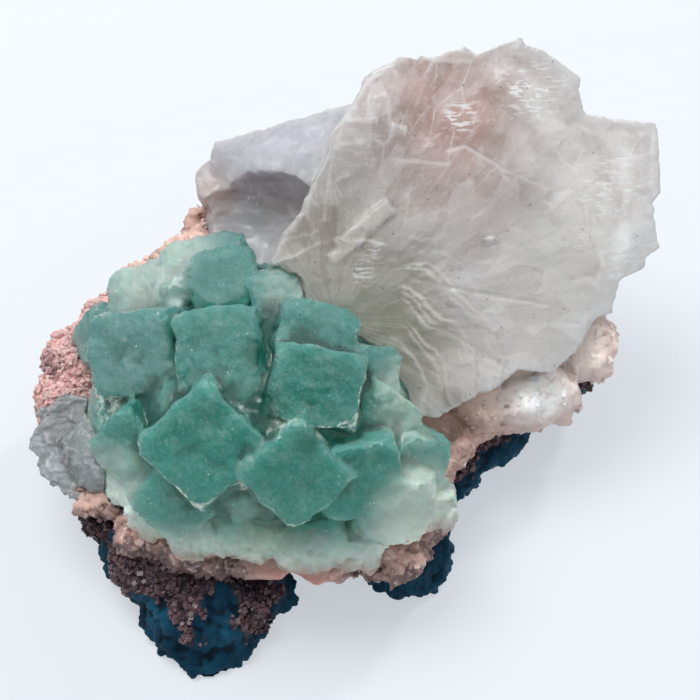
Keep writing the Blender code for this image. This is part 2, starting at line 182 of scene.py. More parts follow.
class Socket:
    """One output of a finish's nodes. Arithmetic on it adds Math nodes."""

    def __init__(self, finish, output):
        self.finish, self.output = finish, output

    def maths(self, operation, first, second):
        return self.finish.node("Math", {"operation": operation}, {0: first, 1: second})

    def __add__(self, other):
        return self.maths("ADD", self, other)

    def __sub__(self, other):
        return self.maths("SUBTRACT", self, other)

    def __rsub__(self, other):
        return self.maths("SUBTRACT", other, self)

    def __mul__(self, other):
        return self.maths("MULTIPLY", self, other)

    __radd__, __rmul__ = __add__, __mul__


class Finish:
    """A material, its subsurface scale in metres. Every node but its first shader comes from node."""

    def __init__(self, name, **constants):
        self.material = bpy.data.materials.new(name)
        self.material.use_nodes = True
        self.nodes, self.links = self.material.node_tree.nodes, self.material.node_tree.links
        self.shader = self.nodes["Principled BSDF"]
        self.hold(self.shader, constants)
        in_metres = self.node("TexCoord", output="Object")
        self.place = self.node("VectorMath", {"operation": "SCALE"}, {0: in_metres, "Scale": 1 / MM})

    def fill(self, node, sockets):
        """Links or sets a node's sockets."""
        for name, value in sockets.items():
            socket = node.inputs[name]
            if isinstance(value, Socket):
                self.links.new(value.output, socket)
            elif socket.type == "RGBA":
                socket.default_value = (*linear(value), 1.0)
            else:
                socket.default_value = value

    def hold(self, shader, constants):
        """Sets a shader's own sockets, which are named here in small letters."""
        for name, value in constants.items():
            self.fill(shader, {name.replace("_", " ").title().replace("Ior", "IOR"): value})

    def node(self, kind, settings=None, sockets=None, output=0):
        """Adds a node, with its settings first and then its sockets, and gives one of its outputs."""
        node = self.nodes.new("ShaderNode" + kind)
        for name, value in (settings or {}).items():
            setattr(node, name, value)
        self.fill(node, sockets or {})
        return Socket(self, node.outputs[output])

    def stretched(self, sizes, turn=(0, 0, 0), place=None):
        """The place turned, and drawn out to those sizes, for a pattern that runs one way."""
        scale = tuple(1 / size for size in sizes)
        sockets = {"Vector": place or self.place, "Rotation": turn, "Scale": scale}
        return self.node("Mapping", {"vector_type": "POINT"}, sockets)

    def noise(self, size, detail=3.0, place=None, roughness=0.5):
        """Cloudy patches of that size, from 0 to 1."""
        sockets = {"Vector": place or self.place, "Scale": 1 / size}
        sockets |= {"Detail": detail, "Roughness": roughness}
        return self.node("TexNoise", {}, sockets)

    def cells(self, size, feature="F1", place=None, output="Distance"):
        """Close-packed grains of that size."""
        sockets = {"Vector": place or self.place, "Scale": 1 / size}
        return self.node("TexVoronoi", {"feature": feature}, sockets, output)

    def marked(self, name):
        """The number that mark stored on the piece."""
        return self.node("Attribute", {"attribute_name": name}, output="Fac")

    def rise(self, value, low, high):
        """0 below low and 1 above high, with a soft step between them. With low above high it falls."""
        sockets = {"Value": value, "From Min": low, "From Max": high}
        return self.node("MapRange", {"interpolation_type": "SMOOTHSTEP"}, sockets)

    def blend(self, share, first, second):
        """The first colour, with that share of the second."""
        return self.node("Mix", {"data_type": "RGBA"}, {0: share, 6: first, 7: second}, output=2)

    def tinted(self, colour):
        """The colour, changed by the zones painted on the piece."""
        share = self.node("Attribute", {"attribute_name": "zones"}, output="Alpha")
        other = self.node("Attribute", {"attribute_name": "zones"}, output="Color")
        return self.blend(share, colour, other)

    def specks(self, size, width):
        """1 on small dots, each in its own cell of that size, and 0 elsewhere."""
        return self.rise(self.cells(size), width, width * 0.6)

    def bump(self, height, strength, distance):
        """Fine relief of that height in millimetres."""
        sockets = {"Height": height, "Strength": strength, "Distance": distance * MM}
        self.fill(self.shader, {"Normal": self.node("Bump", {}, sockets)})

    def overlay(self, share, colour, **constants):
        """Covers that share of the surface with a second shader of that colour."""
        over = self.node("BsdfPrincipled")
        self.hold(over.output.node, {"base_color": colour, **constants})
        sockets = {0: share, 1: Socket(self, self.shader.outputs[0]), 2: over}
        self.fill(self.nodes["Material Output"], {"Surface": self.node("MixShader", {}, sockets)})

    def absorb(self, colour, density):
        """Fills the piece with a clear colour that deepens with thickness; density is per metre."""
        volume = self.node("VolumeAbsorption", {}, {"Color": colour, "Density": density})
        self.fill(self.nodes["Material Output"], {"Volume": volume})

    def coat(self, *pieces):
        """Gives the finish to these pieces."""
        for piece in pieces:
            piece.data.materials.clear()
            piece.data.materials.append(self.material)


def scatter(name, on, grain, per_mm2, sizes, where, seed):
    """Small copies of grain all over a piece, as thick as the number marked there says, in one mesh."""
    piece = bpy.data.objects.new(name, on.data.copy())
    bpy.context.scene.collection.objects.link(piece)
    tree = bpy.data.node_groups.new(name, "GeometryNodeTree")
    tree.interface.new_socket("Geometry", in_out="INPUT", socket_type="NodeSocketGeometry")
    tree.interface.new_socket("Geometry", in_out="OUTPUT", socket_type="NodeSocketGeometry")

    def add(kind, settings=None, sockets=None):
        node = tree.nodes.new(kind)
        for setting, value in (settings or {}).items():
            setattr(node, setting, value)
        for socket, value in (sockets or {}).items():
            if isinstance(value, bpy.types.NodeSocket):
                tree.links.new(value, node.inputs[socket])
            else:
                node.inputs[socket].default_value = value
        return node

    skin = add("NodeGroupInput").outputs[0]
    share = add("GeometryNodeInputNamedAttribute", {"data_type": "FLOAT"}, {"Name": where}).outputs[0]
    crowd = add("ShaderNodeMath", {"operation": "MULTIPLY"}, {0: share, 1: per_mm2 / MM**2}).outputs[0]
    sockets = {"Mesh": skin, "Density": crowd, "Seed": seed}
    spread = add("GeometryNodeDistributePointsOnFaces", {}, sockets)
    shape = add("GeometryNodeObjectInfo", {}, {"Object": grain}).outputs["Geometry"]
    sockets = {"Max": (math.tau,) * 3, "Seed": seed + 1}
    turn = add("FunctionNodeRandomValue", {"data_type": "FLOAT_VECTOR"}, sockets)
    sockets = {2: sizes[0], 3: sizes[1], "Seed": seed + 2}
    size = add("FunctionNodeRandomValue", {"data_type": "FLOAT"}, sockets)
    sockets = {"Points": spread.outputs["Points"], "Instance": shape}
    sockets |= {"Rotation": turn.outputs["Value"], "Scale": size.outputs[1]}
    placed = add("GeometryNodeInstanceOnPoints", {}, sockets).outputs[0]
    real = add("GeometryNodeRealizeInstances", {}, {0: placed}).outputs[0]
    add("NodeGroupOutput", {}, {0: real})
    grow = piece.modifiers.new("grow", "NODES")
    grow.node_group = tree
    apply_all(piece)
    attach(piece, "root")
    return piece


def block(name, size, bevel):
    """A small block crystal of that size, with blunted edges."""
    bpy.ops.object.select_all(action="DESELECT")
    bpy.ops.mesh.primitive_cube_add(size=MM)
    crystal = bpy.context.object
    crystal.name = name
    bpy.ops.object.mode_set(mode="EDIT")
    bpy.ops.transform.resize(value=size)
    if bevel:
        bpy.ops.mesh.bevel(offset=bevel * MM, segments=1, affect="VERTICES")
    bpy.ops.object.mode_set(mode="OBJECT")
    return crystal


rock = piece_from("basalt_matrix", "basalt")
melt(rock, skin=0.42)
relief(rock, "CLOUDS", size=5.0, height=2.2, noise_depth=3)
relief(rock, "VORONOI", size=2.6, height=-1.4, middle=0.45)
relief(rock, "VORONOI", size=1.3, height=-0.8, middle=0.45)
for vert in rock.data.vertices:
    vert.co.z = max(vert.co.z, 0.0)
mark(rock, "relief", standing_out(rock, rounds=12, full=0.35))
places = points_of(rock) / MM
bare_knob = KNOB_HEIGHT * step(places[:, 0], *BARE_KNOB)
druse = step(places[:, 2] + 5 * wild(places, 8.0) - bare_knob, DRUSE_HEIGHT, DRUSE_HEIGHT + 2)
druse *= np.clip(normals_of(rock)[:, 2] * 1.2 + 0.9, 0.3, 1) * step(places[:, 2], FOOT, FOOT + 1.2)
mark(rock, "druse", druse)
thin_out(rock, share=0.6)

stone = Finish("basalt", roughness=0.62, specular_ior_level=0.15)
speckle = stone.noise(1.2, detail=4.0, roughness=0.7)
patches = stone.noise(9.0)
bare = stone.blend(stone.rise(patches, 0.42, 0.62), (0, 46, 66), (2, 66, 90))
bare = stone.blend(stone.rise(speckle, 0.55, 0.75) * 0.6, bare, (8, 62, 86))
mauve = stone.blend(stone.rise(speckle, 0.35, 0.7), (40, 33, 42), (80, 63, 70))
colour = stone.blend(stone.marked("druse"), bare, mauve)
# painted shade: the basalt is painted darker blue-black in the crevices of its skin
colour = stone.blend(stone.rise(stone.marked("relief"), 0.0, -0.9) * 0.8, colour, (4, 20, 34))
stone.fill(stone.shader, {"Base Color": colour, "Roughness": 0.75 - 0.35 * stone.rise(patches, 0.4, 0.7)})
stone.bump(stone.noise(0.5, detail=4.0, roughness=0.7), strength=0.7, distance=0.25)
stone.coat(rock)

grain = block("grain", (1.0, 0.8, 0.7), bevel=0.0)
grains = scatter("mauve_druse", rock, grain, per_mm2=2.6, sizes=(0.35, 1.0), where="druse", seed=11)
druse_finish = Finish("mauve_druse", roughness=0.38, subsurface_weight=0.25, subsurface_scale=0.002)
tint = druse_finish.noise(5.0)
fleck = druse_finish.noise(0.9, detail=1.0)
colour = druse_finish.blend(druse_finish.rise(tint, 0.3, 0.7), (40, 30, 40), (98, 72, 76))
colour = druse_finish.blend(druse_finish.rise(fleck, 0.6, 0.8) * 0.45, colour, (150, 122, 124))
druse_finish.fill(druse_finish.shader, {"Base Color": colour})
druse_finish.coat(grains)

# --------------------------------------------------------------------------------------------------
# Heulandite crust. A rind of small pink and peach crystals a few millimetres thick, which grew on the
# basalt first and rims the whole specimen. It is granular at the left and lumpy elsewhere, and one pink
# blade hangs off its front.

LEFT_RIM = Vector((-46, 4, 20))
GRANULAR_REACH = (26, 14)  # the crust turns granular between these distances from the left rim
HANGING_BLADE = Vector((-8, -32, 12))
BLADE_REACH = (5, 9)  # and lumpy between these distances from the hanging blade
RIGHT_LUMPS = (32, -2, 22)
DUSKY_BELOW = (16.5, 13.5)  # it darkens between these heights
DUSKY_FRONT = (-18, -23)  # and, forward, between these
FACET_SEED = 5


def push(piece, heights):
    """Moves each point out of the skin by its own height."""
    move_to(piece, points_of(piece) + normals_of(piece) * heights[:, None] * MM)


def facets(piece, size, height, share=1.0):
    """Breaks the skin into flat, tilted faces of that size."""
    noise.seed_set(FACET_SEED)
    rises = []
    for point in (points_of(piece) / MM / size).tolist():
        centre = noise.voronoi(point)[1][0]
        slope = noise.noise_vector(7.3 * centre)
        rises.append((Vector(point) - centre).dot(slope))
    push(piece, height * share * np.array(rises))


def near(points, centre, reach, soft=0.5):
    """1 around that point, and 0 beyond reach."""
    return step(np.linalg.norm(points - np.array(centre), axis=1), reach, reach * (1 - soft))


def paint(piece, zones):
    """Stores coloured zones on the piece, each laid with its share over those before it."""
    places = points_of(piece) / MM
    layer = np.zeros((len(places), 4))
    for centre, reach, share, colour in zones:
        cover = share * near(places, centre, reach, soft=0.8)[:, None]
        layer = layer * (1 - cover) + np.array((*linear(colour), 1.0)) * cover
    layer[:, :3] /= np.maximum(layer[:, 3:], 0.001)
    attribute = piece.data.attributes.new("zones", "FLOAT_COLOR", "POINT")
    attribute.data.foreach_set("color", layer.astype(np.float32).ravel())


crust = piece_from("heulandite_crust", "pink_crust")
melt(crust, skin=0.34, soften=2)
places = points_of(crust) / MM
granular = step(np.linalg.norm(places - np.array(LEFT_RIM), axis=1), *GRANULAR_REACH)
lumpy = step(np.linalg.norm(places - np.array(HANGING_BLADE), axis=1), *BLADE_REACH)
right = near(places, RIGHT_LUMPS, reach=24, soft=0.4)
pitted = np.maximum(granular, 0.6 * lumpy * (1 - right))
relief(crust, "CLOUDS", size=3.6, height=0.9, noise_depth=2, share=lumpy)
push(crust, 0.35 * lumpy)
facets(crust, size=3.0, height=2.2, share=lumpy * (1 - granular) * (1 - 0.5 * right))
facets(crust, size=1.3, height=1.2, share=lumpy * (1 - 0.7 * right))
relief(crust, "VORONOI", size=1.1, height=-0.5, middle=0.4, share=pitted)
relief(crust, "CLOUDS", size=0.9, height=0.15, noise_depth=2)
mark(crust, "relief", standing_out(crust, rounds=12, full=0.35))
places = points_of(crust) / MM
dusky = step(places[:, 2] + 1.5 * wild(places, 2.5), *DUSKY_BELOW) * step(places[:, 1], *DUSKY_FRONT)
mark(crust, "dusky", lumpy * dusky)
# painted shade: the crust's downward faces are marked under, to be painted darker
mark(crust, "under", lumpy * step(normals_of(crust)[:, 2], 0.45, -0.1) * (1 - 0.6 * right))

CRUST_ZONES = [
    # centre, reach, share, colour
    (LEFT_RIM, 24, 0.9, (214, 160, 156)),
    ((34, 0, 24), 19, 0.9, (246, 232, 224)),
    ((31, -4.5, 21), 7, 0.9, (253, 252, 250)),
    (HANGING_BLADE, 8, 0.9, (190, 132, 122)),
    ((-47.5, 3, 20), 3.4, 0.85, (86, 64, 84)),
]
paint(crust, CRUST_ZONES)
mark(crust, "granular", granular + 0.1 * lumpy * step(wild(places, 5.0), -0.3, 0.4))
thin_out(crust, share=0.45)

pink = Finish("pink_heulandite", roughness=0.6, subsurface_weight=0.5, subsurface_scale=0.002,
              subsurface_radius=(1.0, 0.6, 0.5))
fleck = pink.noise(1.1, detail=2.0)
colour = pink.blend(pink.noise(7.0), (176, 136, 124), (214, 184, 172))
colour = pink.tinted(colour)
# painted shade on the downward faces
colour = pink.blend(pink.marked("under") * 0.75, colour, (134, 96, 92))
colour = pink.blend(pink.marked("dusky") * 0.85, colour, (92, 72, 76))
colour = pink.blend(pink.rise(fleck, 0.52, 0.75) * 0.7, colour, (214, 196, 190))
# painted shade: darker in the crevices of the crust
colour = pink.blend(pink.rise(pink.marked("relief"), -0.2, -1.0) * 0.6, colour, (124, 84, 80))
pink.fill(pink.shader, {"Base Color": colour})
pink.bump(pink.noise(0.5, detail=3.0, roughness=0.7), strength=0.5, distance=0.2)
pink.coat(crust)

pink_grains = scatter("pink_grains", crust, grain, per_mm2=2.2, sizes=(0.45, 1.0), where="granular",
                      seed=21)
pink.coat(pink_grains)

# --------------------------------------------------------------------------------------------------
# Heulandite sheaf. Flat blades spread from one root and are grown into one fan, pearly and cloudy, pink
# towards its rim and grey-green near the apophyllite. Broken layers show as curved ledges, and small
# crystals lie on the face.

FAN_ROOT = Vector((-1.7, 0.6, 35.1))
FAN_FACING = Vector((0.1, -0.66, 0.75)).normalized()
FAN_UP = FAN_FACING.cross((1, 0, 0)).normalized()
FAN_SIDE = FAN_UP.cross(FAN_FACING)
FAN_REACH = 55.0
FAN_CURL = 3.0  # how far the face has curved back there
FAN_LIFT = 1.0  # how high it lies over the root


def fan_point(angle, reach, lift=0.0):
    """The point of the face in that direction from the fan's root, and that far out."""
    turn = math.radians(angle)
    raised = FAN_LIFT + lift - FAN_CURL * (reach / FAN_REACH) ** 2
    return FAN_ROOT + reach * (math.cos(turn) * FAN_SIDE + math.sin(turn) * FAN_UP) + raised * FAN_FACING


def on_fan(piece, angle, reach, turn, lift=0.0, tilt=0.0):
    """Lays a crystal on the face, with its length turned that far up from the horizontal."""
    axes = Matrix((FAN_SIDE, FAN_UP, FAN_FACING)).transposed().to_4x4()
    turned = Matrix.Rotation(math.radians(turn), 4, "Z") @ Matrix.Rotation(math.radians(tilt), 4, "X")
    piece.data.transform(Matrix.Translation(fan_point(angle, reach, lift) * MM) @ axes @ turned)
    return piece


def joined(base, others):
    """Makes the others part of the base."""
    only(base)
    for other in others:
        other.select_set(True)
    bpy.ops.object.join()
    return base


LEDGES = [
    # angle, reach, turn, size, lift, tilt
    (72, 15.6, 40, (10.5, 2.6, 2.0), -0.45, 7),
    (80, 11.5, 38, (6.0, 1.8, 2.0), -0.5, -9),
    (71, 31.4, -12, (2.4, 1.8, 1.4), -0.3, 9),
    (27, 27.6, 10, (1.3, 1.1, 1.0), -0.1, 16),
    (82, 31.3, 5, (5.2, 1.0, 1.2), -0.4, 16),
    (84, 27.6, 8, (3.6, 0.8, 1.2), -0.45, 18),
    (79, 35.4, 12, (3.2, 0.8, 1.2), -0.45, 16),
    (86, 22.4, 18, (2.6, 0.8, 1.2), -0.45, 18),
]
sheaf = piece_from("heulandite_sheaf", "sheaf")
joined(sheaf, [on_fan(block("ledge", size, bevel=0.25), *place, lift, tilt)
               for *place, size, lift, tilt in LEDGES])
melt(sheaf, skin=0.31, soften=2)

from_root = points_of(sheaf) / MM - np.array(FAN_ROOT)
across, upward, above = (from_root @ np.array(axis) for axis in (FAN_SIDE, FAN_UP, FAN_FACING))
angle, reach = np.degrees(np.arctan2(upward, across)), np.hypot(across, upward)
face = step(normals_of(sheaf) @ np.array(FAN_FACING), 0.45, 0.8)

FAN_RIM = [
    # how far the fan reaches at some angles
    (-40, 24), (-15, 31), (0, 43), (8, 48), (12, 54), (21, 57), (31, 60), (38, 53), (49, 54), (62, 48),
    (76, 43), (90, 30), (105, 19), (150, 14),
]
ARC_CENTRE = (4.0, -12.0)  # across and up the fan from its root
ARC_REACH = (31, 22)  # the ledges fade out between these distances from there
ARCS = (10.5, 12.9, 14.0, 16.8, 17.9, 18.8, 21.6, 22.6, 25.0, 27.2)  # how far from there each ledge runs
from_arc = np.hypot(across - ARC_CENTRE[0], upward - ARC_CENTRE[1])
fibres = np.stack([angle / 1.6, reach / 14, above / 1.1], 1)  # each runs outward from the root
streaks = wild(fibres, 1.0)
layered = wild(np.stack([angle / 12, reach / 20, above / 0.9], 1), 1.0, octaves=2)
places = points_of(sheaf) / MM
wavy = from_arc + 1.0 * wild(places, 9.0) + 0.12 * wild(places, 2.0)
broken = sum(step(wavy, arc - 1.4, arc) * (wavy < arc) for arc in ARCS) * step(from_arc, *ARC_REACH)
covered = face * step(wild(places + 50, 5.0, octaves=2), -0.8, -0.1)
covered = covered * step(from_arc, *ARC_REACH) * step(reach, 9, 14)
broken *= covered
push(sheaf, 0.25 * broken)
push(sheaf, 0.2 * (1 - face) ** 2 * layered + 0.04 * streaks * face + 0.14 * streaks * (1 - face))
push(sheaf, 0.25 * face * wild(places, 9.0) + 0.05 * face * wild(places, 2.0))
facets(sheaf, size=4.5, height=0.25, share=face)
mark(sheaf, "arc", covered * np.max([step(np.abs(wavy - arc), 0.34, 0) for arc in ARCS], axis=0))
mark(sheaf, "fan_angle", angle)
mark(sheaf, "fan_reach", reach)
mark(sheaf, "fan_depth", above)
mark(sheaf, "rim", step(reach / np.interp(angle, *zip(*FAN_RIM)), 0.8, 1.0))
mark(sheaf, "relief", standing_out(sheaf, rounds=8, full=0.16))

SEAMS = [
    # points along each, as angle and reach
    [(56, 32.0), (53, 34.2), (41, 35.7), (36, 37.4), (31, 39.8)],
    [(70, 27.0), (54, 30.2)],
    [(24, 43.7), (18, 42.9), (12, 43.4), (8, 42.0)],
    [(96, 16.0), (90, 27.0), (84, 37.0)],
    [(28, 14.0), (12, 22.0), (4, 34.0)],
    [(10, 12.0), (-8, 20.0), (-16, 29.0)],
]


def seam_share(points, width):
    """1 on a thin line through those points of the face, and 0 beside it."""
    spots = [fan_point(*point) - FAN_ROOT for point in points]
    spots = np.array([(spot.dot(FAN_SIDE), spot.dot(FAN_UP)) for spot in spots])
    here = np.stack([across, upward], 1)
    away = np.full(len(here), np.inf)
    for start, end in zip(spots, spots[1:]):
        run = end - start
        along = np.clip((here - start) @ run / (run @ run), 0, 1)
        away = np.minimum(away, np.linalg.norm(here - start - along[:, None] * run, axis=1))
    return step(away, width, 0)


seams = face * np.max([seam_share(points, width=0.5) for points in SEAMS], axis=0)
push(sheaf, -0.2 * seams)
mark(sheaf, "seam", seams)

BAR = [(86, 10.0), (68, 19.0)]  # the two ends of the long crystal that lies on the face
FAN_ZONES = [
    # centre, reach, share, colour
    ((16, 25, 53), 27, 0.9, (194, 170, 164)),
    ((17, 27, 54), 13, 0.7, (192, 138, 124)),
    ((42, 22, 46), 14, 0.4, (236, 214, 208)),
    ((6, 0, 34), 17, 0.85, (166, 174, 150)),
    ((-3, 9, 43), 12, 0.6, (196, 172, 158)),
    ((19, 5, 37), 6, 0.8, (240, 246, 252)),
    ((19, -9, 24), 8, 0.8, (176, 172, 160)),
    ((-4, 17, 46), 12, 0.8, (162, 150, 142)),
    ((30, -2, 33), 18, 0.7, (254, 255, 254)),
]
GLINTS = [
    # angle, reach, size, share
    (49, 48.5, 8.5, 1.0),
    (58, 37.2, 4.0, 1.0),
    (24, 49.9, 10.0, 0.9),
    (27, 27.6, 2.2, 1.0),
    (17, 40.8, 2.4, 1.0),
    (63, 12.5, 3.0, 1.0),
    (60, 8.7, 3.0, 1.0),
    (83, 29.0, 8.0, 0.35),
    (10, 47.0, 7.0, 0.8),
    (35, 17.0, 14.0, 0.15),
    (66, 24.0, 12.0, 0.15),
]
paint(sheaf, FAN_ZONES)
places = points_of(sheaf) / MM
glints = [share * near(places, fan_point(*place), size, soft=0.8) for *place, size, share in GLINTS]
mark(sheaf, "glints", np.max(glints, axis=0))
mark(sheaf, "bar", face * np.clip(1.6 * seam_share(BAR, width=2.2), 0, 1))
thin_out(sheaf, share=0.7)

pale = Finish("pale_heulandite", roughness=0.34, subsurface_weight=0.7, subsurface_scale=0.005,
              subsurface_radius=(1.0, 0.92, 0.85), transmission_weight=0.55, ior=1.5)
along_fan = {0: pale.marked("fan_angle"), 1: pale.marked("fan_reach"), 2: pale.marked("fan_depth")}
fan_place = pale.node("CombineXYZ", {}, along_fan)
fibre = pale.noise(1.0, place=pale.stretched((1.5, 16, 1.2), place=fan_place))
cleaved = pale.cells(1.0, place=pale.stretched((8, 7, 3), place=fan_place), output="Color")
veil = pale.noise(7.0, detail=5.0, roughness=0.6)
colour = pale.blend(veil, (222, 225, 222), (250, 250, 249))
colour = pale.blend(pale.marked("rim") * 0.7, colour, (240, 238, 240))
colour = pale.tinted(colour)
colour = pale.blend(pale.rise(cleaved, 0.3, 0.8) * 0.3, colour, (244, 244, 242))
colour = pale.blend(pale.rise(cleaved, 0.5, 0.2) * 0.25, colour, (176, 172, 164))
split = pale.cells(1.0, "DISTANCE_TO_EDGE", pale.stretched((6, 9, 3), place=fan_place))
split = pale.rise(split, 0.05, 0.01) * pale.rise(veil, 0.45, 0.6)
colour = pale.blend(split * 0.5, colour, (246, 244, 242))
grit = pale.noise(0.7, detail=3.0, roughness=0.7)
colour = pale.blend(pale.rise(grit, 0.55, 0.75) * 0.4, colour, (246, 246, 246))
colour = pale.blend(pale.rise(grit, 0.45, 0.25) * 0.3, colour, (170, 164, 156))
colour = pale.blend(pale.rise(fibre, 0.5, 0.72) * 0.18, colour, (244, 242, 242))
colour = pale.blend(pale.rise(fibre, 0.45, 0.25) * 0.2, colour, (170, 166, 158))
cloud = pale.noise(2.4, detail=4.0, roughness=0.65)
colour = pale.blend(pale.rise(cloud, 0.52, 0.72) * 0.25, colour, (236, 234, 234))
# painted highlight on the raised edges, and painted shade in the crevices
colour = pale.blend(pale.rise(pale.marked("relief"), 0.1, 0.7) * 0.45, colour, (244, 244, 244))
colour = pale.blend(pale.rise(pale.marked("relief"), -0.2, -0.8) * 0.3, colour, (150, 146, 134))
colour = pale.blend(pale.marked("seam") * 0.6, colour, (244, 240, 238))
arc = pale.marked("arc")
between = pale.rise(arc, 0.3, 0.02) * pale.rise(pale.marked("fan_reach"), 26.0, 12.0)
colour = pale.blend(between * 0.25, colour, (140, 132, 108))
colour = pale.blend(pale.rise(arc, 0.2, 0.8) * 0.45, colour, (236, 230, 214))
colour = pale.blend(pale.marked("bar") * (0.4 + 0.5 * fibre), colour, (240, 232, 226))
streak_place = pale.stretched((2.4, 0.42, 0.42), turn=(0.72, 0, 0.1))
streak = pale.rise(pale.noise(1.0, detail=2.0, place=streak_place), 0.54, 0.59)
colour = pale.blend(streak * pale.marked("glints"), colour, (252, 252, 252))
colour = pale.blend(pale.specks(2.3, width=0.075) * 0.7, colour, (60, 58, 56))
pale.fill(pale.shader, {"Base Color": colour})
height = pale.noise(0.7, detail=4.0, roughness=0.7) + 0.6 * fibre + 0.3 * pale.rise(cleaved, 0.3, 0.8)
pale.bump(height, strength=0.7, distance=0.2)
pale.coat(sheaf)

# --------------------------------------------------------------------------------------------------
# Heulandite blade behind the sheaf. Thick pearly plates, grown side by side, white to lilac on top,
# with a hollow broken out of the front that shows their darker, glassy inside. The paler top is partly
# painted light, and the darker hollow partly painted shade.

REAR_ALONG = Vector((0.93, 0.1, 0.35)).normalized()
REAR_HOLLOW = (-14, 25, 31)
REAR_ZONES = [
    # centre, reach, share, colour
    ((-22, 31, 30), 7, 0.7, (206, 184, 174)),
    ((-24, 33, 29), 3, 0.6, (60, 70, 62)),
]
REAR_GLINTS = [
    # centre, reach
    ((-16.5, 28, 32), 4.5),
    ((-10, 22, 33), 4.0),
]

rear = piece_from("heulandite_rear_blade", "rear_blade")
melt(rear, skin=0.3, soften=4)
places = points_of(rear) / MM
facing = normals_of(rear)
run = places @ np.array(REAR_ALONG)
fibres = np.stack([run / 14, places[:, 1] / 1.4, places[:, 2] / 1.0], 1)
push(rear, 0.08 * wild(fibres, 1.0) + 0.3 * wild(places, 7.0) + 0.08 * wild(places, 2.0))
# the upward faces are painted paler, partly as painted light, and the front hollow darker, partly as painted
# shade
mark(rear, "up", step(facing[:, 2], 0.1, 0.7))
mark(rear, "front", step(-facing[:, 1], 0.2, 0.75) * near(places, REAR_HOLLOW, reach=16, soft=0.6))
glints = [near(places, centre, reach, soft=0.7) for centre, reach in REAR_GLINTS]
mark(rear, "glints", np.max(glints, axis=0))
paint(rear, REAR_ZONES)
mark(rear, "relief", standing_out(rear, rounds=10, full=0.25))
thin_out(rear, share=0.6)

pearl = Finish("lilac_heulandite", roughness=0.32, subsurface_weight=0.8, subsurface_scale=0.008,
               subsurface_radius=(0.9, 0.9, 1.0), transmission_weight=0.5, ior=1.5)
fibre = pearl.noise(1.0, place=pearl.stretched((10, 1.4, 1.0), turn=(0, 0.36, 0)))
colour = pearl.blend(pearl.noise(5.0, detail=4.0), (158, 156, 160), (196, 194, 198))
# partly painted shade: the front hollow is painted darker, and the upward faces paler as painted light
dark = pearl.blend(pearl.noise(5.0), (172, 154, 148), (186, 180, 194))
colour = pearl.blend(pearl.marked("front"), colour, dark)
colour = pearl.blend(pearl.marked("up"), colour, (208, 210, 216))
colour = pearl.tinted(colour)
on_top = 0.1 + 0.35 * pearl.marked("up")
colour = pearl.blend(pearl.rise(fibre, 0.5, 0.7) * on_top, colour, (236, 236, 240))
colour = pearl.blend(pearl.rise(pearl.marked("relief"), 0.2, 0.8) * 0.5, colour, (234, 232, 234))
glint = pearl.rise(pearl.noise(1.0, detail=2.0, place=pearl.stretched((0.5, 0.5, 1.6))), 0.64, 0.69)
colour = pearl.blend(glint * pearl.marked("glints"), colour, (250, 250, 252))
pearl.fill(pearl.shader, {"Base Color": colour})
pearl.bump(pearl.noise(0.8, detail=4.0, roughness=0.65), strength=0.5, distance=0.12)
pearl.coat(rear)

# --------------------------------------------------------------------------------------------------
# Small sheaf at the left rim. The same mineral, glassy and nearly colourless, with a sawtooth edge.
# It grew on the crust, and its skin is broken into small flat faces.

side = piece_from("heulandite_side_sheaf", "side_sheaf")
melt(side, skin=0.26, soften=3)
places = points_of(side) / MM
push(side, 0.15 * wild(places, 2.4) + 0.08 * wild(places @ np.diag((0.2, 1.0, 1.0)), 1.0))
facets(side, size=3.2, height=1.4)
facets(side, size=1.2, height=0.5)
mark(side, "relief", standing_out(side, rounds=10, full=0.25))

glassy = Finish("colourless_heulandite", roughness=0.26, subsurface_weight=0.7, subsurface_scale=0.004,
                subsurface_radius=(0.9, 1.0, 1.0), transmission_weight=0.65, ior=1.5)
colour = glassy.blend(glassy.noise(3.0, detail=4.0), (150, 164, 168), (216, 220, 222))
colour = glassy.blend(glassy.rise(glassy.marked("relief"), 0.1, 0.8) * 0.6, colour, (236, 238, 238))
glassy.fill(glassy.shader, {"Base Color": colour})
glassy.bump(glassy.noise(0.8, detail=4.0, roughness=0.7), strength=0.9, distance=0.3)
glassy.coat(side)

# --------------------------------------------------------------------------------------------------
# Apophyllite cluster. Square green blocks with cut corners, grown together over a dome. They are glassy
# but cloudy, their end faces are finely pitted, with frosting on their edges; the green is deepest where
# light has furthest to go. The deep teal in their crevices and valleys is painted shade; painted light
# makes their edges and the lower parts of the end faces at the back paler, and adds small white sparkles.

DOME_CENTRE = np.array((-16.0, -7.4, 18.0))
LOWER_RIM = 22.0  # below this height the crystals are small, crowded and whitish
WORN_FRONT = (-14, -28, 33)
WORN_BELOW = (42, 38)  # the wear sets in between these heights
